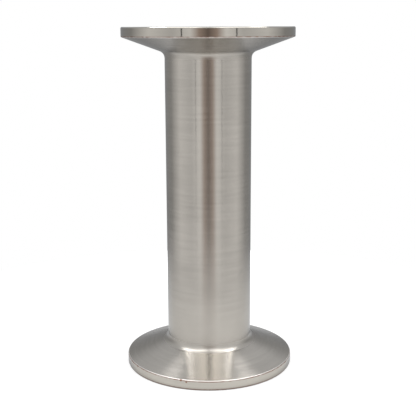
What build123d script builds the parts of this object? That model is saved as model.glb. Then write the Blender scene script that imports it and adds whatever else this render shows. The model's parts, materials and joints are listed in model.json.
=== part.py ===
"""Sanitary spool pipe: a short straight tube with a clamp ferrule butt-welded to each end.

The spool stands on its lower sealing face. The origin is the centre of that face and +Z runs up
the bore. Each ferrule is turned from bar: a thin cylindrical rim, a 20 degree clamping cone, a
filleted weld neck of the tube's own diameter and wall, and a gasket groove in the sealing face.
The ferrules and the tube meet face to face at the two welds, which are dressed flush. The bore's
edges stay sharp, so that the gasket leaves no crevice there.

All lengths are in millimetres and all angles in degrees.
"""

from build123d import *

import os
from math import radians, tan

# Spool
overall_length = 101.6  # sealing face to sealing face

# Tube
tube_diameter = 25.4
wall = 1.65

# Clamp ferrule
ferrule_length = 12.7  # sealing face to weld
flange_diameter = 50.5
rim_thickness = 2.85  # at the flange's edge, where the clamping cone begins
clamp_angle = 20.0  # slope of the flange's back, from the sealing face
neck_radius = 2.1  # fillet between the clamping cone and the weld neck
rim_edge_radius = 0.4

# Gasket groove in the sealing face
groove_width = 3.3
groove_depth = 1.6
groove_land = 1.85  # flat between the groove and the flange's edge
groove_lip_radius = 0.25

# Worked out from the sizes above
tube_radius = tube_diameter / 2
bore_radius = tube_radius - wall
flange_radius = flange_diameter / 2
cone_height = (flange_radius - tube_radius) * tan(radians(clamp_angle))
neck_start = rim_thickness + cone_height  # where a sharp cone would meet the weld neck
groove_outer = flange_radius - groove_land
groove_inner = groove_outer - groove_width
groove_centre = (groove_outer + groove_inner) / 2
tube_length = overall_length - 2 * ferrule_length


def corner(section, radius, height):
    """The corner of a half section that lies at this radius and this height."""
    return section.vertices().sort_by_distance((radius, height))[0]


# Lower ferrule: its half section, with the groove's round floor, is revolved round the bore
with BuildPart() as lower_ferrule:
    with BuildSketch(Plane.XZ) as half_section:
        with BuildLine():
            Polyline(
                (groove_outer, 0),
                (flange_radius, 0),
                (flange_radius, rim_thickness),
                (tube_radius, neck_start),
                (tube_radius, ferrule_length),
                (bore_radius, ferrule_length),
                (bore_radius, 0),
                (groove_inner, 0),
            )
            ThreePointArc((groove_inner, 0), (groove_centre, groove_depth), (groove_outer, 0))
        make_face()
        fillet(corner(half_section, tube_radius, neck_start), neck_radius)
        rim_edges = [corner(half_section, flange_radius, height) for height in (0, rim_thickness)]
        fillet(rim_edges, rim_edge_radius)
        groove_lips = [corner(half_section, radius, 0) for radius in (groove_inner, groove_outer)]
        fillet(groove_lips, groove_lip_radius)
    revolve(axis=Axis.Z)
lower_ferrule.part.label = "lower_ferrule"

# Tube: cut square, from weld to weld
with BuildPart() as tube:
    with BuildSketch(Plane.XY.offset(ferrule_length)):
        Circle(tube_radius)
        Circle(bore_radius, mode=Mode.SUBTRACT)
    extrude(amount=tube_length)
tube.part.label = "tube"

# Upper ferrule: the same turned piece, facing up
with BuildPart() as upper_ferrule:
    mirror(lower_ferrule.part, about=Plane.XY.offset(overall_length / 2))
upper_ferrule.part.label = "upper_ferrule"

os.makedirs("parts", exist_ok=True)
export_step(lower_ferrule.part, "parts/lower_ferrule.step")
export_step(tube.part, "parts/tube.step")
export_step(upper_ferrule.part, "parts/upper_ferrule.step")
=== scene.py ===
"""Sanitary spool pipe: two turned clamp ferrules on a brushed tube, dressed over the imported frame.

Each ferrule and the tube is drawn as a half section, from its bore round to its outside, and
turned about the spool's axis by one Geometry Nodes tree. The rims are polished, the outside is
brushed round the axis, the sealing faces are finely faced and the bore is drawn smooth. The spool
stands on a round pale table in a soft light tent. Lengths are in metres, and angles in degrees.
"""

import json
import logging
import math
from collections.abc import Iterable
from dataclasses import dataclass, field
from enum import Enum, IntEnum

import bpy
from mathutils import Euler, Matrix, Vector


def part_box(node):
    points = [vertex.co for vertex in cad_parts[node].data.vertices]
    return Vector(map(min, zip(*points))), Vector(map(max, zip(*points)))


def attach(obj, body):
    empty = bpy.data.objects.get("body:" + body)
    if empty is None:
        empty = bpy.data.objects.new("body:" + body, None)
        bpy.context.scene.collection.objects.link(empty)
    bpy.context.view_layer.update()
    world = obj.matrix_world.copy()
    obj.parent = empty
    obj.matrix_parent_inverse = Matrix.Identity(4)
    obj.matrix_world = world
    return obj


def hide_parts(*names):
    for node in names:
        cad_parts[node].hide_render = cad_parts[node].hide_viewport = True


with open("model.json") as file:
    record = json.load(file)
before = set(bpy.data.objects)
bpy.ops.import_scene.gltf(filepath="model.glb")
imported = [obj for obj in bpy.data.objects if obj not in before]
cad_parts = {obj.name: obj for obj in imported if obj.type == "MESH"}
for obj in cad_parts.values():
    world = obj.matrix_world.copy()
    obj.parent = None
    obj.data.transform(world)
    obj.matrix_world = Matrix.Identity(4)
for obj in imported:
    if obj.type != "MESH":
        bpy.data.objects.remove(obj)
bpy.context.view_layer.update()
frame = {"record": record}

log = logging.getLogger("spool")

BODY = "root"
MM = 0.001
WHITE = (1.0, 1.0, 1.0, 1.0)


# ---------------------------------------------------------------------------------------------
# Node trees
# ---------------------------------------------------------------------------------------------


class Graph:
    """A node tree with short calls for adding and joining nodes."""

    def __init__(self, tree: bpy.types.NodeTree) -> None:
        """Starts with an empty tree.

        Args:
            tree: the tree to fill.
        """
        self.tree = tree
        tree.nodes.clear()

    def add(self, kind: str, inputs: dict | None = None, **settings: object) -> bpy.types.Node:
        """Adds a node.

        Args:
            kind: the node's type, such as "ShaderNodeMath".
            inputs: input name or number to a value, or to the socket that feeds it.
            **settings: the node's own properties.

        Returns:
            The new node.
        """
        node = self.tree.nodes.new(kind)
        for name, value in settings.items():
            setattr(node, name, value)
        for key, value in (inputs or {}).items():
            self.feed(node.inputs[key], value)
        return node

    def feed(self, socket: bpy.types.NodeSocket, value: object) -> None:
        """Joins a socket to its source, or sets its value.

        Args:
            socket: the input to set.
            value: an output socket, or a plain value.
        """
        if isinstance(value, bpy.types.NodeSocket):
            self.tree.links.new(value, socket)
        else:
            socket.default_value = value

    def calc(self, operation: str, *values: object) -> bpy.types.NodeSocket:
        """Adds a Math node.

        Args:
            operation: the node's operation, such as "MULTIPLY".
            *values: one to three sockets or numbers.

        Returns:
            The node's result.
        """
        return self.add("ShaderNodeMath", dict(enumerate(values)), operation=operation).outputs[0]

    def remap(self, value: bpy.types.NodeSocket, low: float, high: float,
              to_low: object = 0.0, to_high: object = 1.0,
              curve: str = "LINEAR") -> bpy.types.NodeSocket:
        """Maps one range of values to another, and holds it at the ends.

        Args:
            value: the socket to map.
            low: the value that becomes to_low.
            high: the value that becomes to_high.
            to_low: the result at low.
            to_high: the result at high.
            curve: the node's interpolation.

        Returns:
            The mapped value.
        """
        inputs = {0: value, 1: low, 2: high, 3: to_low, 4: to_high}
        node = self.add("ShaderNodeMapRange", inputs, interpolation_type=curve)
        return node.outputs[0]


def new_group(name: str, kind: str, inputs: Iterable[tuple], outputs: Iterable[tuple]) -> Graph:
    """Makes a node group with named sockets.

    Args:
        name: the group's name.
        kind: "ShaderNodeTree" or "GeometryNodeTree".
        inputs: (name, socket type, default or None) for each input.
        outputs: (name, socket type) for each output.

    Returns:
        The empty group's graph.
    """
    tree = bpy.data.node_groups.new(name, kind)
    for label, socket_type, default in inputs:
        socket = tree.interface.new_socket(label, in_out="INPUT", socket_type=socket_type)
        if default is not None:
            socket.default_value = default
    for label, socket_type in outputs:
        tree.interface.new_socket(label, in_out="OUTPUT", socket_type=socket_type)
    return Graph(tree)


# ---------------------------------------------------------------------------------------------
# Finishes
# ---------------------------------------------------------------------------------------------


class Zone(IntEnum):
    """The zones of a turned piece, each with a finish of its own."""

    BORE = 0
    FACE = 1
    RIM = 2
    OUTSIDE = 3
    EDGE = 4
    NECK = 5


class Group(Enum):
    """The shader node groups that the finishes share."""

    GRAIN = "turned_grain"
    HANDLING = "handling_marks"
    WEAR_AND_FOOT_SHADOW = "edge_wear_and_foot_shadow"


UV_NAME = "turned"
STEEL_AT_GRAZING = (0.78, 0.80, 0.83, 1.0)
# The brown of the nicks and of the line along the eased edge; at the lower ferrule's foot the same brown is
# a painted contact shadow.
WORN_AND_SHADED_STEEL = (0.24, 0.105, 0.06, 1.0)
GRAIN_LAYERS = ((1.0, 2.0), (0.12, 3.0))    # (stretch, detail) of the fine lines and the wide bands
LINES_SHARE, BANDS_SHARE = 0.6, 0.4
GRAIN_SPAN = (0.25, 0.75)                   # the part of the noise that carries the grain
CLOUD_SPAN = (0.3, 0.7)
CLOUD_DETAIL = 4.0
SMUDGE_CORE = 0.2
RAGGED_SCALE, RAGGED_DETAIL = 900.0, 2.0    # the noise that breaks up the brown lines
RAGGED_SPAN = (0.35, 0.6)
RAGGED_LEAST = 0.5
LINE_TILT = (0.4, 0.8)                      # how far a normal leans up where the line fades out
# Heights of the painted contact shadow at the lower ferrule's foot: darkest below the first, gone above the
# second.
FOOT_HEIGHT = (0.25 * MM, 0.6 * MM)
BROWN_DEPTH = 0.9
NICK_CORE = 0.5
NICK_DEPTH = 0.85
SMUDGE_PLACE = (9.3 * MM, -8.6 * MM, 30.0 * MM)
SMUDGE_SLANT = math.radians(38.0)
SMUDGE_SIZE = (0.7 * MM, 2.0 * MM, 2.4 * MM)
NICK_REACH = 25.2 * MM


def build_grain_group() -> None:
    """Builds the lines that turning and brushing leave round the axis."""
    graph = new_group(
        Group.GRAIN.value, "ShaderNodeTree",
        [("Pitch", "NodeSocketFloat", 0.0002), ("Run", "NodeSocketFloat", 3.0)],
        [("Lines", "NodeSocketFloat"), ("Bands", "NodeSocketFloat")],
    )
    ends = graph.add("NodeGroupInput")
    place = graph.add("ShaderNodeTexCoord").outputs["Object"]
    flat = graph.add("ShaderNodeVectorMath", {0: place, 1: (1.0, 1.0, 0.0)}, operation="MULTIPLY")
    round_axis = graph.add("ShaderNodeVectorMath", {0: flat.outputs[0]}, operation="NORMALIZE")
    heading = graph.add("ShaderNodeSeparateXYZ", {0: round_axis.outputs[0]})
    along = graph.add("ShaderNodeSeparateXYZ", {0: graph.add("ShaderNodeUVMap", uv_map=UV_NAME).outputs[0]})
    across = graph.calc("DIVIDE", along.outputs["X"], ends.outputs["Pitch"])
    values = []
    for stretch, detail in GRAIN_LAYERS:
        spot = graph.add("ShaderNodeCombineXYZ", {
            "X": graph.calc("MULTIPLY", heading.outputs["X"], ends.outputs["Run"]),
            "Y": graph.calc("MULTIPLY", heading.outputs["Y"], ends.outputs["Run"]),
            "Z": graph.calc("MULTIPLY", across, stretch),
        })
        noise = graph.add("ShaderNodeTexNoise", {"Vector": spot.outputs[0], "Scale": 1.0, "Detail": detail})
        values.append(noise.outputs[0])
    graph.add("NodeGroupOutput", {"Lines": values[0], "Bands": values[1]})


def build_handling_group() -> None:
    """Builds the faint cloudy patches of bare steel, and one slanting smudge low on the tube."""
    graph = new_group(
        Group.HANDLING.value, "ShaderNodeTree",
        [("Size", "NodeSocketFloat", 0.02)],
        [("Clouds", "NodeSocketFloat"), ("Smudge", "NodeSocketFloat")],
    )
    ends = graph.add("NodeGroupInput")
    place = graph.add("ShaderNodeTexCoord").outputs["Object"]
    scale = graph.calc("DIVIDE", 1.0, ends.outputs["Size"])
    clouds = graph.add("ShaderNodeTexNoise", {"Vector": place, "Scale": scale, "Detail": CLOUD_DETAIL})
    smudge = graph.add("ShaderNodeMapping", {
        "Vector": place, "Location": SMUDGE_PLACE, "Rotation": (0.0, SMUDGE_SLANT, 0.0),
        "Scale": SMUDGE_SIZE}, vector_type="TEXTURE")
    away = graph.add("ShaderNodeVectorMath", {0: smudge.outputs[0]}, operation="LENGTH").outputs["Value"]
    soft = graph.remap(away, SMUDGE_CORE, 1.0, 1.0, 0.0, "SMOOTHSTEP")
    graph.add("NodeGroupOutput", {"Clouds": clouds.outputs[0], "Smudge": soft})


@dataclass(frozen=True)
class Nick:
    """A small dark nick on the lower ferrule's rim."""

    azimuth: float
    height: float
    size: float

    def place(self) -> tuple[float, float, float]:
        """The nick's centre."""
        angle = math.radians(self.azimuth)
        return NICK_REACH * math.sin(angle), -NICK_REACH * math.cos(angle), self.height


def build_wear_and_shadow_group() -> None:
    """Builds the brown line along a rim's eased edge, the nicks, and the same brown at the lower ferrule's
    foot, which is a painted contact shadow.
    """
    graph = new_group(Group.WEAR_AND_FOOT_SHADOW.value, "ShaderNodeTree", [], [
        ("Line", "NodeSocketFloat"), ("Foot", "NodeSocketFloat"), ("Nicks", "NodeSocketFloat")])
    coordinates = graph.add("ShaderNodeTexCoord")
    place = coordinates.outputs["Object"]
    tilt = graph.add("ShaderNodeSeparateXYZ", {0: coordinates.outputs["Normal"]}).outputs["Z"]
    ragged = graph.remap(graph.add("ShaderNodeTexNoise", {
        "Vector": place, "Scale": RAGGED_SCALE, "Detail": RAGGED_DETAIL}).outputs[0],
        *RAGGED_SPAN, RAGGED_LEAST, 1.0)
    line = graph.remap(graph.calc("ABSOLUTE", tilt), *LINE_TILT, BROWN_DEPTH, 0.0)
    height = graph.add("ShaderNodeSeparateXYZ", {0: place}).outputs["Z"]
    # Painted contact shadow: the foot of the lower ferrule darkened brown.
    foot = graph.remap(height, *FOOT_HEIGHT, BROWN_DEPTH, 0.0)
    nicks = 0.0
    for nick in NICKS:
        away = graph.add("ShaderNodeVectorMath", {
            0: place, 1: nick.place()}, operation="DISTANCE").outputs["Value"]
        nicks = graph.calc("MAXIMUM", nicks, graph.remap(
            away, nick.size * NICK_CORE, nick.size, NICK_DEPTH, 0.0))
    graph.add("NodeGroupOutput", {
        "Line": graph.calc("MULTIPLY", line, ragged), "Foot": graph.calc("MULTIPLY", foot, ragged),
        "Nicks": nicks})


@dataclass(frozen=True)
class SteelFinish:
    """One finish of the bare stainless steel.

    Attributes:
        name: the material's name.
        colour: the steel's colour.
        roughness: how rough it is.
        anisotropy: how far its gloss is drawn out across the grain.
        pitch: the distance between the grain's lines.
        run: how often a line changes on its way round the axis.
        line_colour: how far the grain changes the colour, as a share.
        line_roughness: how far it changes the roughness.
        line_height: how deep it is.
        clouds: how far the cloudy patches change the colour.
        smudge: how far the smudge darkens it.
        brown_wear_and_shadow: the outputs of the marks group that brown it: the edge line and the nicks,
            and at the foot a painted contact shadow.
    """

    name: str
    colour: tuple[float, float, float]
    roughness: float
    anisotropy: float
    pitch: float
    run: float
    line_colour: float
    line_roughness: float
    line_height: float
    clouds: float = 0.06
    smudge: float = 0.06
    brown_wear_and_shadow: tuple[str, ...] = ()

    def build(self) -> bpy.types.Material:
        """Builds the finish's material.

        Returns:
            The material.
        """
        material = bpy.data.materials.new(self.name)
        material.use_nodes = True
        graph = Graph(material.node_tree)
        grain = graph.add("ShaderNodeGroup", node_tree=bpy.data.node_groups[Group.GRAIN.value])
        grain.inputs["Pitch"].default_value = self.pitch
        grain.inputs["Run"].default_value = self.run
        marks = graph.add("ShaderNodeGroup", node_tree=bpy.data.node_groups[Group.HANDLING.value])

        lines, bands = grain.outputs["Lines"], grain.outputs["Bands"]
        mixed = graph.calc("MULTIPLY_ADD", lines, LINES_SHARE,
                           graph.calc("MULTIPLY", bands, BANDS_SHARE))
        shade = graph.remap(mixed, *GRAIN_SPAN, 1.0 - self.line_colour, 1.0 + self.line_colour)
        cloud = graph.remap(marks.outputs["Clouds"], *CLOUD_SPAN, 1.0 - self.clouds, 1.0 + self.clouds)
        smudge = graph.remap(marks.outputs["Smudge"], 0.0, 1.0, 1.0, 1.0 - self.smudge)
        level = graph.calc("MULTIPLY", graph.calc("MULTIPLY", shade, cloud), smudge)
        colour = graph.add("ShaderNodeVectorMath", {0: self.colour}, operation="SCALE")
        graph.feed(colour.inputs["Scale"], level)
        paint = colour.outputs[0]
        if self.brown_wear_and_shadow:
            marks_and_shadow = graph.add("ShaderNodeGroup", node_tree=bpy.data.node_groups[Group.WEAR_AND_FOOT_SHADOW.value])
            for mark in self.brown_wear_and_shadow:
                paint = graph.add("ShaderNodeMix", {
                    0: marks_and_shadow.outputs[mark], 6: paint, 7: WORN_AND_SHADED_STEEL}, data_type="RGBA").outputs[2]

        rough = graph.remap(mixed, *GRAIN_SPAN, self.roughness - self.line_roughness,
                            self.roughness + self.line_roughness)
        bump = graph.add("ShaderNodeBump", {
            "Strength": 1.0, "Distance": self.line_height, "Height": mixed})
        tangent = graph.add("ShaderNodeTangent", direction_type="UV_MAP", uv_map=UV_NAME)
        steel = graph.add("ShaderNodeBsdfPrincipled", {
            "Base Color": paint, "Metallic": 1.0, "Roughness": rough,
            "Anisotropic": self.anisotropy, "Specular Tint": STEEL_AT_GRAZING,
            "Normal": bump.outputs[0], "Tangent": tangent.outputs[0]})
        graph.add("ShaderNodeOutputMaterial", {"Surface": steel.outputs[0]})
        return material


NICKS = (
    Nick(-18.9, 2.75 * MM, 0.45 * MM), Nick(-15.2, 2.35 * MM, 0.36 * MM),
    Nick(-58.0, 2.6 * MM, 0.25 * MM), Nick(142.0, 2.7 * MM, 0.3 * MM),
)

STEEL_INSIDE = (0.54, 0.515, 0.475)
STEEL_OUTSIDE = (0.535, 0.505, 0.46)

FINISHES: dict[Zone, SteelFinish] = {
    Zone.BORE: SteelFinish(
        name="drawn_bore", colour=STEEL_INSIDE, roughness=0.32, anisotropy=0.2, pitch=0.0009,
        run=2.0, line_colour=0.05, line_roughness=0.03, line_height=0.000001),
    Zone.FACE: SteelFinish(
        name="faced_steel", colour=STEEL_INSIDE, roughness=0.22, anisotropy=0.75, pitch=0.0005,
        run=1.0, line_colour=0.05, line_roughness=0.03, line_height=0.000001),
    # The polished rim is browned by its nicks and, at the foot, by a painted contact shadow.
    Zone.RIM: SteelFinish(
        name="polished_rim", colour=(0.53, 0.50, 0.45), roughness=0.075, anisotropy=0.3,
        pitch=0.0008, run=2.0, line_colour=0.04, line_roughness=0.02, line_height=0.0000004,
        brown_wear_and_shadow=("Foot", "Nicks")),
    Zone.EDGE: SteelFinish(
        name="eased_edge", colour=(0.82, 0.79, 0.755), roughness=0.38, anisotropy=0.0,
        pitch=0.0005, run=6.0, line_colour=0.08, line_roughness=0.05, line_height=0.000001,
        brown_wear_and_shadow=("Line", "Nicks")),
    Zone.OUTSIDE: SteelFinish(
        name="brushed_steel", colour=STEEL_OUTSIDE, roughness=0.22, anisotropy=0.93, pitch=0.0008,
        run=1.0, line_colour=0.075, line_roughness=0.03, line_height=0.0000006),
    Zone.NECK: SteelFinish(
        name="brushed_neck", colour=STEEL_OUTSIDE, roughness=0.32, anisotropy=0.85, pitch=0.0008,
        run=1.0, line_colour=0.075, line_roughness=0.05, line_height=0.0000006),
}


# ---------------------------------------------------------------------------------------------
# Turned pieces
# ---------------------------------------------------------------------------------------------

STEPS_ROUND = 256
PROP_GAP = 0.00006
PROP_LEAST = 10         # a stretch shorter than this many gaps gets no added points
SHARP_ANGLE = 35.0
WELD_DISTANCE = 0.000001
ZONE_TOLERANCE = 0.1
BORE_EDGE_STEPS = 3
RIM_EDGE_STEPS = 6
CLAMP_EDGE_STEPS = 5
NECK_STEPS = 14
LIP_STEPS = 4
GROOVE_STEPS = 18


@dataclass
class HalfSection:
    """A half section drawn point by point: (radius, height), with the zone of each stretch."""

    points: list[tuple[float, float]] = field(default_factory=list)
    zones: list[Zone] = field(default_factory=list)

    def line(self, radius: float, height: float, zone: Zone) -> None:
        """Draws a straight stretch, or sets the first point.

        Args:
            radius: the end's distance from the axis.
            height: the end's height.
            zone: the stretch's zone.
        """
        self.points.append((radius, height))
        self.zones.append(zone)

    def arc(self, centre: tuple[float, float], size: float, start: float, end: float,
            zone: Zone, steps: int, before: Zone | None = None) -> None:
        """Draws a straight stretch to an arc's start, and then the arc.

        Args:
            centre: the arc's centre, as (radius, height).
            size: the arc's own radius.
            start: the angle at its start, from outwards towards up.
            end: the angle at its end.
            zone: the arc's zone.
            steps: how many chords make the arc.
            before: the straight stretch's zone, or None for the arc's own.
        """
        for step in range(steps + 1):
            angle = math.radians(start + (end - start) * step / steps)
            here = before if step == 0 and before is not None else zone
            self.line(centre[0] + size * math.cos(angle), centre[1] + size * math.sin(angle), here)

    def propped(self, gap: float = PROP_GAP) -> "HalfSection":
        """Adds a point just inside each long stretch's ends, so that its shading stays flat.

        Args:
            gap: how far the added points lie from the ends.

        Returns:
            The section with the added points.
        """
        result = HalfSection([self.points[0]], [self.zones[0]])
        for (r0, z0), (r1, z1), zone in zip(self.points, self.points[1:], self.zones[1:]):
            length = math.hypot(r1 - r0, z1 - z0)
            if length > PROP_LEAST * gap:
                for share in (gap / length, 1.0 - gap / length):
                    result.line(r0 + (r1 - r0) * share, z0 + (z1 - z0) * share, zone)
            result.line(r1, z1, zone)
        return result

    def flipped(self, top: float) -> "HalfSection":
        """Turns the section upside down.

        Args:
            top: the height that becomes 0.

        Returns:
            The section from top downwards, still drawn the same way round.
        """
        points = [(radius, top - height) for radius, height in reversed(self.points)]
        return HalfSection(points, [self.zones[0]] + self.zones[:0:-1])

    def mesh(self, name: str) -> bpy.types.Mesh:
        """Makes the section a wire mesh, which the turning tree reads.

        Args:
            name: the mesh's name.

        Returns:
            The mesh, with each point's distance along the section and its stretch's zone.
        """
        mesh = bpy.data.meshes.new(name)
        mesh.from_pydata([(r, 0.0, z) for r, z in self.points],
                         [(i, i + 1) for i in range(len(self.points) - 1)], [])
        along = mesh.attributes.new("along", "FLOAT", "POINT")
        zone = mesh.attributes.new("zone", "INT", "POINT")
        distance = 0.0
        for i, point in enumerate(self.points):
            if i:
                distance += math.dist(self.points[i - 1], point)
            along.data[i].value = distance
            zone.data[i].value = int(self.zones[min(i + 1, len(self.zones) - 1)])
        return mesh


class Lathe:
    """Turns half sections about the spool's axis with one Geometry Nodes tree."""

    STEPS = "Steps Round"
    SHARP = "Sharp Angle"
    WELD = "Merge Distance"

    def __init__(self, materials: dict[Zone, bpy.types.Material]) -> None:
        """Builds the tree.

        Args:
            materials: each zone's material.
        """
        self.materials = materials
        self.graph = new_group(
            "turn_half_section", "GeometryNodeTree",
            [("Half Section", "NodeSocketGeometry", None), (self.STEPS, "NodeSocketInt", STEPS_ROUND),
             (self.SHARP, "NodeSocketFloat", math.radians(SHARP_ANGLE)),
             (self.WELD, "NodeSocketFloat", WELD_DISTANCE)]
            + [(self.label(zone), "NodeSocketMaterial", None) for zone in Zone],
            [("Geometry", "NodeSocketGeometry")],
        )
        self.build_tree()

    @staticmethod
    def label(zone: Zone) -> str:
        """The name of the input that takes a zone's material."""
        return f"{zone.name.capitalize()} Material"

    def build_tree(self) -> None:
        """Fills the tree: a sheet of section points by steps, bent round into a closed skin."""
        graph = self.graph
        ends = graph.add("NodeGroupInput")
        section = ends.outputs["Half Section"]
        count = graph.add("GeometryNodeAttributeDomainSize", {0: section}, component="MESH").outputs[0]
        last = graph.calc("SUBTRACT", count, 1.0)
        sheet = graph.add("GeometryNodeMeshGrid", {
            "Size X": 1.0, "Size Y": 1.0, "Vertices X": count,
            "Vertices Y": graph.calc("ADD", ends.outputs[self.STEPS], 1.0)}).outputs[0]
        place = graph.add("ShaderNodeSeparateXYZ", {0: graph.add("GeometryNodeInputPosition").outputs[0]})
        row = graph.calc("MULTIPLY", graph.calc("ADD", place.outputs["X"], 0.5), last)
        turn = graph.calc("ADD", place.outputs["Y"], 0.5)
        nearest = graph.calc("ROUND", row)

        def sampled(data_type: str, value: object, index: object) -> bpy.types.NodeSocket:
            """One attribute of the section's points, read at an index."""
            return graph.add("GeometryNodeSampleIndex", {
                "Geometry": section, "Value": value, "Index": index}, data_type=data_type).outputs[0]

        def named(name: str, data_type: str) -> bpy.types.NodeSocket:
            """A stored attribute of the section's points."""
            return graph.add("GeometryNodeInputNamedAttribute", {"Name": name},
                             data_type=data_type).outputs[0]

        along = sampled("FLOAT", named("along", "FLOAT"), nearest)
        chart = graph.add("ShaderNodeCombineXYZ", {"X": along, "Y": turn}).outputs[0]
        charted = graph.add("GeometryNodeStoreNamedAttribute", {
            "Geometry": sheet, "Name": UV_NAME, "Value": chart},
            data_type="FLOAT2", domain="CORNER").outputs[0]
        zone = sampled("INT", named("zone", "INT"), graph.calc("FLOOR", row))
        zoned = graph.add("GeometryNodeStoreNamedAttribute", {
            "Geometry": charted, "Name": "zone", "Value": zone}, data_type="INT", domain="FACE").outputs[0]

        point = graph.add("ShaderNodeSeparateXYZ", {
            0: sampled("FLOAT_VECTOR", graph.add("GeometryNodeInputPosition").outputs[0], nearest)})
        angle = graph.calc("MULTIPLY", turn, math.tau)
        bent = graph.add("ShaderNodeCombineXYZ", {
            "X": graph.calc("MULTIPLY", point.outputs["X"], graph.calc("COSINE", angle)),
            "Y": graph.calc("MULTIPLY", point.outputs["X"], graph.calc("SINE", angle)),
            "Z": point.outputs["Z"]}).outputs[0]
        skin = graph.add("GeometryNodeSetPosition", {"Geometry": zoned, "Position": bent}).outputs[0]
        closed = graph.add("GeometryNodeMergeByDistance", {
            "Geometry": skin, "Distance": ends.outputs[self.WELD]}).outputs[0]
        smooth = graph.add("GeometryNodeSetShadeSmooth", {
            "Geometry": closed, "Shade Smooth": True}, domain="FACE").outputs[0]
        bend = graph.add("GeometryNodeInputMeshEdgeAngle").outputs["Unsigned Angle"]
        sharp = graph.add("FunctionNodeCompare", {0: bend, 1: ends.outputs[self.SHARP]},
                          data_type="FLOAT", operation="GREATER_THAN").outputs[0]
        creased = graph.add("GeometryNodeSetShadeSmooth", {
            "Geometry": smooth, "Selection": sharp, "Shade Smooth": False}, domain="EDGE").outputs[0]
        dressed = graph.add("GeometryNodeRealizeInstances", {"Geometry": creased}).outputs[0]
        for kind in Zone:
            here = graph.calc("COMPARE", named("zone", "INT"), float(kind), ZONE_TOLERANCE)
            dressed = graph.add("GeometryNodeSetMaterial", {
                "Geometry": dressed, "Selection": here,
                "Material": ends.outputs[self.label(kind)]}).outputs[0]
        graph.add("NodeGroupOutput", {"Geometry": dressed})

    def turn(self, name: str, section: HalfSection, steps: int) -> bpy.types.Object:
        """Turns a half section into a finished piece.

        Args:
            name: the piece's name.
            section: its half section, closed on itself.
            steps: the facets round the axis.

        Returns:
            The piece, as a plain closed mesh.
        """
        blank = bpy.data.objects.new(name + "_section", section.mesh(name + "_section"))
        bpy.context.scene.collection.objects.link(blank)
        modifier = blank.modifiers.new("turn", "NODES")
        modifier.node_group = self.graph.tree
        values: dict[str, object] = {self.STEPS: steps}
        values |= {self.label(zone): self.materials[zone] for zone in Zone}
        for item in self.graph.tree.interface.items_tree:
            if item.in_out == "INPUT" and item.name in values:
                modifier[item.identifier] = values[item.name]
        evaluated = blank.evaluated_get(bpy.context.evaluated_depsgraph_get())
        mesh = bpy.data.meshes.new_from_object(evaluated)
        mesh.name = name
        blank.modifiers.remove(modifier)
        bpy.data.objects.remove(blank)
        mesh.attributes.remove(mesh.attributes["zone"])
        piece = bpy.data.objects.new(name, mesh)
        bpy.context.scene.collection.objects.link(piece)
        log.info("%s: %d faces", name, len(mesh.polygons))
        return piece


@dataclass
class ClampFerrule:
    """A turned clamp ferrule: rim, clamping cone, weld neck, bore and gasket groove."""

    node: str
    bore_radius: float
    tube_radius: float
    flange_radius: float
    length: float
    faces_up: bool
    face_height: float
    rim_thickness: float = 2.85 * MM
    clamp_angle: float = 20.0
    neck_radius: float = 2.1 * MM
    rim_edge_radius: float = 0.4 * MM
    bore_edge_radius: float = 0.12 * MM
    groove_width: float = 3.3 * MM
    groove_depth: float = 1.6 * MM
    groove_land: float = 1.85 * MM
    groove_lip_radius: float = 0.25 * MM
    steps: int = STEPS_ROUND

    def section(self) -> HalfSection:
        """Draws the half section as the lower ferrule lies, with its face at height 0.

        Returns:
            The section, from the weld down the bore, out along the face and up the outside.
        """
        draw = HalfSection()
        slope = math.radians(self.clamp_angle)
        draw.line(self.bore_radius, self.length, Zone.BORE)
        edge = self.bore_edge_radius
        draw.arc((self.bore_radius + edge, edge), edge, 180.0, 270.0, Zone.BORE,
                 BORE_EDGE_STEPS)
        self.draw_groove(draw)
        edge = self.rim_edge_radius
        draw.line(self.flange_radius - edge, 0.0, Zone.FACE)
        draw.arc((self.flange_radius - edge, edge), edge, -90.0, 0.0, Zone.RIM,
                 RIM_EDGE_STEPS)
        setback = edge * math.tan((math.pi / 2 - slope) / 2)
        draw.arc((self.flange_radius - edge, self.rim_thickness - setback), edge, 0.0,
                 90.0 - self.clamp_angle, Zone.EDGE, CLAMP_EDGE_STEPS, before=Zone.RIM)
        neck_start = self.rim_thickness + (self.flange_radius - self.tube_radius) * math.tan(slope)
        reach = self.neck_radius * math.tan((math.pi / 2 - slope) / 2)
        draw.arc((self.tube_radius + self.neck_radius, neck_start + reach), self.neck_radius,
                 270.0 - self.clamp_angle, 180.0, Zone.NECK, NECK_STEPS, before=Zone.OUTSIDE)
        draw.line(self.tube_radius, self.length, Zone.OUTSIDE)
        draw.line(self.bore_radius, self.length, Zone.FACE)
        return draw.propped()

    def draw_groove(self, draw: HalfSection) -> None:
        """Draws the gasket groove: an eased lip, a round floor and the other lip.

        Args:
            draw: the section, which has reached the face inside the groove.
        """
        outer = self.flange_radius - self.groove_land
        centre = outer - self.groove_width / 2
        floor = (self.groove_width**2 / 4 + self.groove_depth**2) / (2 * self.groove_depth)
        drop = self.groove_depth - floor
        lip = self.groove_lip_radius
        reach = math.sqrt((floor + lip) ** 2 - (lip - drop) ** 2)
        lean = math.degrees(math.atan2(lip - drop, reach))
        draw.arc((centre - reach, lip), lip, -90.0, -lean, Zone.FACE, LIP_STEPS)
        draw.arc((centre, drop), floor, 180.0 - lean, lean, Zone.FACE, GROOVE_STEPS)
        draw.arc((centre + reach, lip), lip, 180.0 + lean, 270.0, Zone.FACE, LIP_STEPS)

    def build(self, lathe: Lathe) -> bpy.types.Object:
        """Turns the ferrule.

        Args:
            lathe: the lathe.

        Returns:
            The piece.
        """
        section = self.section()
        if self.faces_up:
            section = section.flipped(self.face_height)
        return lathe.turn(self.node + "_turned", section, self.steps)

    def dress(self, piece: bpy.types.Object) -> None:
        """Puts the piece in its node's place.

        Args:
            piece: what build returned.
        """
        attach(piece, BODY)
        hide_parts(self.node)


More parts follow.
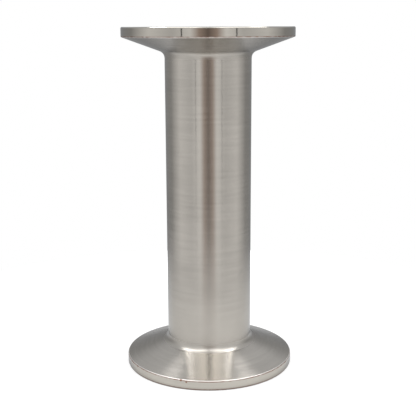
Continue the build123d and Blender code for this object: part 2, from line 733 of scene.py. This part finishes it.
@dataclass
class BrushedTube:
    """The plain tube between the two welds."""

    node: str
    bore_radius: float
    radius: float
    low: float
    high: float
    steps: int = STEPS_ROUND

    def build(self, lathe: Lathe) -> bpy.types.Object:
        """Turns the tube.

        Args:
            lathe: the lathe.

        Returns:
            The piece.
        """
        draw = HalfSection()
        draw.line(self.bore_radius, self.high, Zone.BORE)
        draw.line(self.bore_radius, self.low, Zone.BORE)
        draw.line(self.radius, self.low, Zone.FACE)
        draw.line(self.radius, self.high, Zone.OUTSIDE)
        draw.line(self.bore_radius, self.high, Zone.FACE)
        return lathe.turn(self.node + "_brushed", draw, self.steps)

    def dress(self, piece: bpy.types.Object) -> None:
        """Puts the piece in its node's place.

        Args:
            piece: what build returned.
        """
        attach(piece, BODY)
        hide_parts(self.node)


# ---------------------------------------------------------------------------------------------
# Studio
# ---------------------------------------------------------------------------------------------


@dataclass(frozen=True)
class Softbox:
    """A rectangular lamp that hangs on both sides.

    Attributes:
        name: what it is called.
        place: the right one's centre.
        size: its two sides.
        light: its brightness, where 1 shows white in a perfect mirror.
    """

    name: str
    place: tuple[float, float, float]
    size: tuple[float, float]
    light: float


@dataclass
class Studio:
    """A round pale table in a soft light tent, with a camera level with the spool's upper face.

    The tent has a few plain panels, the same on both sides: panels holds (azimuth, brightness) from
    the gap that the camera looks through, at 0, round to the back. A pair of numbers is where a
    change starts and where it ends.
    """

    top: float
    tent_radius: float = 0.45
    floor_radius: float = 0.13
    floor_colour: float = 0.50
    floor_white: float = 0.65
    floor_fade: tuple[float, float] = (0.05, 0.11)
    # How brightly the table glows in reflections near the spool and at its edge: painted light that only
    # mirrored rays see.
    floor_mirrored: float = 0.42
    edge_mirrored: float = 0.05
    floor_corners: int = 96
    # The painted contact shadow in the table's glow: its reach, where it gives way to the open table, and
    # how deep it is to the camera and in reflections.
    contact: float = 2.5 * MM
    contact_fade: tuple[float, float] = (0.035, 0.05)
    contact_depth: float = 0.2
    contact_mirrored: float = 2.0
    tent_facets: tuple[int, int] = (64, 48)
    overhead: tuple[float, float] = (0.27, 0.58)
    ceiling: tuple[float, float, float, float] = (0.625, 0.635, 0.65, 1.0)
    panels: tuple[tuple[float, float], ...] = (
        (0.0, 0.15), (11.0, 0.34), (22.0, 0.92), (45.0, 0.67), (80.0, 0.82), (115.0, 0.36),
        (180.0, 0.38))
    gap_edge: float = 15.0
    gap_tint: tuple[float, float, float] = (1.25, 1.0, 0.875)
    flags: tuple[float, ...] = (-32.8, 35.5)
    flag_width: float = 11.0 * MM
    flag_height: float = 0.30
    flag_inset: float = 0.02
    flag_colour: float = 0.01
    softboxes: tuple[Softbox, ...] = (
        Softbox("softbox", (0.128, -0.08, 0.345), (0.34, 0.13), 2.9),
        Softbox("kicker", (0.183, 0.032, 0.332), (0.045, 0.10), 7.5))
    camera_distance: float = 0.24816
    camera_pitch: float = 12.2
    camera_yaw: float = 0.05
    camera_roll: float = -0.23
    lens: float = 72.6
    sensor_width: float = 36.0
    nearest: float = 0.01

    def build_floor(self) -> None:
        """Makes the round pale table. Its matt part keeps the spool's real soft shadow; its glow is
        darkened near the spool by ambient occlusion, a painted contact shadow that is far darker in
        reflections than to the camera.
        """
        mesh = bpy.data.meshes.new("floor")
        turns = [math.tau * i / self.floor_corners for i in range(self.floor_corners)]
        ring = [(self.floor_radius * math.cos(turn), self.floor_radius * math.sin(turn), 0.0)
                for turn in turns]
        mesh.from_pydata(ring, [], [tuple(range(self.floor_corners))])
        floor = bpy.data.objects.new("floor", mesh)
        bpy.context.scene.collection.objects.link(floor)
        material = bpy.data.materials.new("pale_floor")
        material.use_nodes = True
        graph = Graph(material.node_tree)
        matt = graph.add("ShaderNodeBsdfDiffuse", {"Color": (self.floor_colour,) * 3 + (1.0,)})
        path = graph.add("ShaderNodeLightPath")
        mirrored = graph.calc("MAXIMUM", path.outputs["Is Glossy Ray"],
                             path.outputs["Is Transmission Ray"])
        place = graph.add("ShaderNodeTexCoord").outputs["Object"]
        away = graph.add("ShaderNodeVectorMath", {0: place}, operation="LENGTH").outputs["Value"]
        white = graph.calc("MULTIPLY", path.outputs["Is Camera Ray"],
                          graph.remap(away, *self.floor_fade, self.floor_white, 1.0))
        # For mirrored rays the table glows, strongest near the spool and fading almost to nothing at its
        # edge: painted light that only the steel's reflections show.
        glow = graph.remap(away, self.floor_fade[0], self.floor_radius,
                           self.floor_mirrored, self.edge_mirrored)
        shown = graph.calc("ADD", white, graph.calc("MULTIPLY", mirrored, glow))
        # Painted contact shadow: ambient occlusion darkens the glow near the spool, raised to a higher
        # power for mirrored rays so that the foot shows darker in reflections.
        contact = graph.add("ShaderNodeAmbientOcclusion", {"Distance": self.contact})
        open_floor = graph.remap(away, *self.contact_fade)
        depth = graph.calc("ADD", graph.calc("MULTIPLY", mirrored, self.contact_mirrored),
                           self.contact_depth)
        deep = graph.calc("POWER", contact.outputs["AO"], depth)
        strength = graph.calc("MAXIMUM", deep, open_floor)
        lift = graph.add("ShaderNodeEmission", {
            "Color": WHITE, "Strength": graph.calc("MULTIPLY", shown, strength)})
        surface = graph.add("ShaderNodeAddShader", {0: matt.outputs[0], 1: lift.outputs[0]})
        graph.add("ShaderNodeOutputMaterial", {"Surface": surface.outputs[0]})
        mesh.materials.append(material)

    def build_tent(self) -> None:
        """Makes the light tent, which lights the spool and shows in its reflections."""
        segments, rings = self.tent_facets
        bpy.ops.mesh.primitive_uv_sphere_add(
            segments=segments, ring_count=rings, radius=self.tent_radius)
        tent = bpy.context.active_object
        tent.name = "light_tent"
        tent.visible_camera = False
        material = bpy.data.materials.new("light_tent")
        material.use_nodes = True
        graph = Graph(material.node_tree)
        place = graph.add("ShaderNodeTexCoord").outputs["Object"]
        aim = graph.add("ShaderNodeSeparateXYZ", {
            0: graph.add("ShaderNodeVectorMath", {0: place}, operation="NORMALIZE").outputs[0]})
        walls = self.build_walls(graph, aim)
        overhead = graph.remap(aim.outputs["Z"], *self.overhead, curve="SMOOTHSTEP")
        light = graph.add("ShaderNodeMix", {
            0: overhead, 6: walls, 7: self.ceiling}, data_type="RGBA")
        glow = graph.add("ShaderNodeEmission", {"Color": light.outputs[2], "Strength": 1.0})
        graph.add("ShaderNodeOutputMaterial", {"Surface": glow.outputs[0]})
        tent.data.materials.append(material)

    def build_walls(self, graph: Graph, aim: bpy.types.Node) -> bpy.types.NodeSocket:
        """Lays the panels round the tent, the same on both sides.

        Args:
            graph: the tent's material.
            aim: a Separate XYZ node with the direction from the tent's middle.

        Returns:
            The walls' brightness, warm at the gap that the camera looks through.
        """
        angle = graph.calc("ARCTAN2", aim.outputs["X"], graph.calc("MULTIPLY", aim.outputs["Y"], -1.0))
        turn = graph.remap(graph.calc("ABSOLUTE", angle), 0.0, math.pi)
        ramp = graph.add("ShaderNodeValToRGB", {0: turn})
        stops = ramp.color_ramp.elements
        for i, (azimuth, light) in enumerate(self.panels):
            place = azimuth / 180.0
            stop = stops[i] if i < 2 else stops.new(place)
            stop.position = place
            tint = self.gap_tint if azimuth < self.gap_edge else WHITE[:3]
            stop.color = (*(light * share for share in tint), 1.0)
        return ramp.outputs[0]

    def build_world(self) -> None:
        """Makes the white backdrop beyond the tent."""
        world = bpy.data.worlds.new("white_backdrop")
        world.use_nodes = True
        graph = Graph(world.node_tree)
        sky = graph.add("ShaderNodeBackground", {"Color": WHITE, "Strength": 1.0})
        graph.add("ShaderNodeOutputWorld", {"Surface": sky.outputs[0]})
        bpy.context.scene.world = world

    def build_lamp(self, softbox: Softbox, side_name: str, side: int) -> None:
        """Hangs one of a softbox's pair, facing the spool's middle.

        Args:
            softbox: the softbox.
            side_name: the side's name.
            side: 1 for the right, or -1 for the left.
        """
        name = f"{side_name}_{softbox.name}"
        lamp = bpy.data.lights.new(name, "AREA")
        lamp.shape = "RECTANGLE"
        lamp.size, lamp.size_y = softbox.size
        lamp.energy = softbox.light * math.pi * softbox.size[0] * softbox.size[1]
        hung = bpy.data.objects.new(name, lamp)
        bpy.context.scene.collection.objects.link(hung)
        across, deep, high = softbox.place
        place = Vector((side * across, deep, high))
        aim = Vector((0.0, 0.0, self.top / 2)) - place
        hung.matrix_world = Matrix.Translation(place) @ aim.to_track_quat("-Z", "Y").to_matrix().to_4x4()

    def build_camera(self) -> None:
        """Sets the camera, level with the upper face and looking slightly down."""
        camera = bpy.data.objects.new("camera", bpy.data.cameras.new("camera"))
        bpy.context.scene.collection.objects.link(camera)
        camera.data.lens = self.lens
        camera.data.sensor_width = self.sensor_width
        camera.data.clip_start = self.nearest
        aim = Euler((math.radians(90.0 - self.camera_pitch), 0.0, math.radians(self.camera_yaw)))
        turned = aim.to_matrix() @ Matrix.Rotation(math.radians(self.camera_roll), 3, "Z")
        place = Vector((0.0, -self.camera_distance, self.top))
        camera.matrix_world = Matrix.Translation(place) @ turned.to_4x4()
        bpy.context.scene.camera = camera

    def build_flag(self, azimuth: float) -> None:
        """Stands a thin black strip just inside the tent's wall.

        Args:
            azimuth: its azimuth.
        """
        mesh = bpy.data.meshes.new("flag")
        reach = self.tent_radius - self.flag_inset
        corners = []
        for side, height in ((-1, 0.0), (1, 0.0), (1, self.flag_height), (-1, self.flag_height)):
            angle = math.radians(azimuth) + side * self.flag_width / (2 * reach)
            corners.append((reach * math.sin(angle), -reach * math.cos(angle), height))
        mesh.from_pydata(corners, [], [(0, 1, 2, 3)])
        flag = bpy.data.objects.new("flag", mesh)
        bpy.context.scene.collection.objects.link(flag)
        flag.visible_camera = False
        material = bpy.data.materials.new("black_flag")
        material.use_nodes = True
        graph = Graph(material.node_tree)
        black = graph.add("ShaderNodeBsdfDiffuse", {"Color": (self.flag_colour,) * 3 + (1.0,)})
        graph.add("ShaderNodeOutputMaterial", {"Surface": black.outputs[0]})
        mesh.materials.append(material)

    def build(self) -> None:
        """Builds the whole studio."""
        self.build_floor()
        self.build_tent()
        for azimuth in self.flags:
            self.build_flag(azimuth)
        self.build_world()
        for side_name, side in (("left", -1), ("right", 1)):
            for softbox in self.softboxes:
                self.build_lamp(softbox, side_name, side)
        self.build_camera()
        bpy.context.scene.view_settings.view_transform = "Standard"


def main() -> None:
    """Builds the spool's pieces in order, and then the studio."""
    logging.basicConfig(level=logging.INFO, format="%(name)s: %(message)s")
    bore = next(m for m in frame["record"]["mounts"] if m["name"] == "bore")["dims"]["r_mm"] * MM
    flange_low, flange_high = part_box("lower_ferrule")
    tube_low, tube_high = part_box("tube")
    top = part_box("upper_ferrule")[1].z

    build_grain_group()
    build_handling_group()
    build_wear_and_shadow_group()
    lathe = Lathe({zone: finish.build() for zone, finish in FINISHES.items()})
    length = flange_high.z - flange_low.z
    parts = [
        ClampFerrule("lower_ferrule", bore, tube_high.x, flange_high.x, length, False, 0.0),
        BrushedTube("tube", bore, tube_high.x, tube_low.z, tube_high.z),
        ClampFerrule("upper_ferrule", bore, tube_high.x, flange_high.x, length, True, top),
    ]
    for part in parts:
        part.dress(part.build(lathe))
    Studio(top).build()


if __name__ == "__main__":
    main()
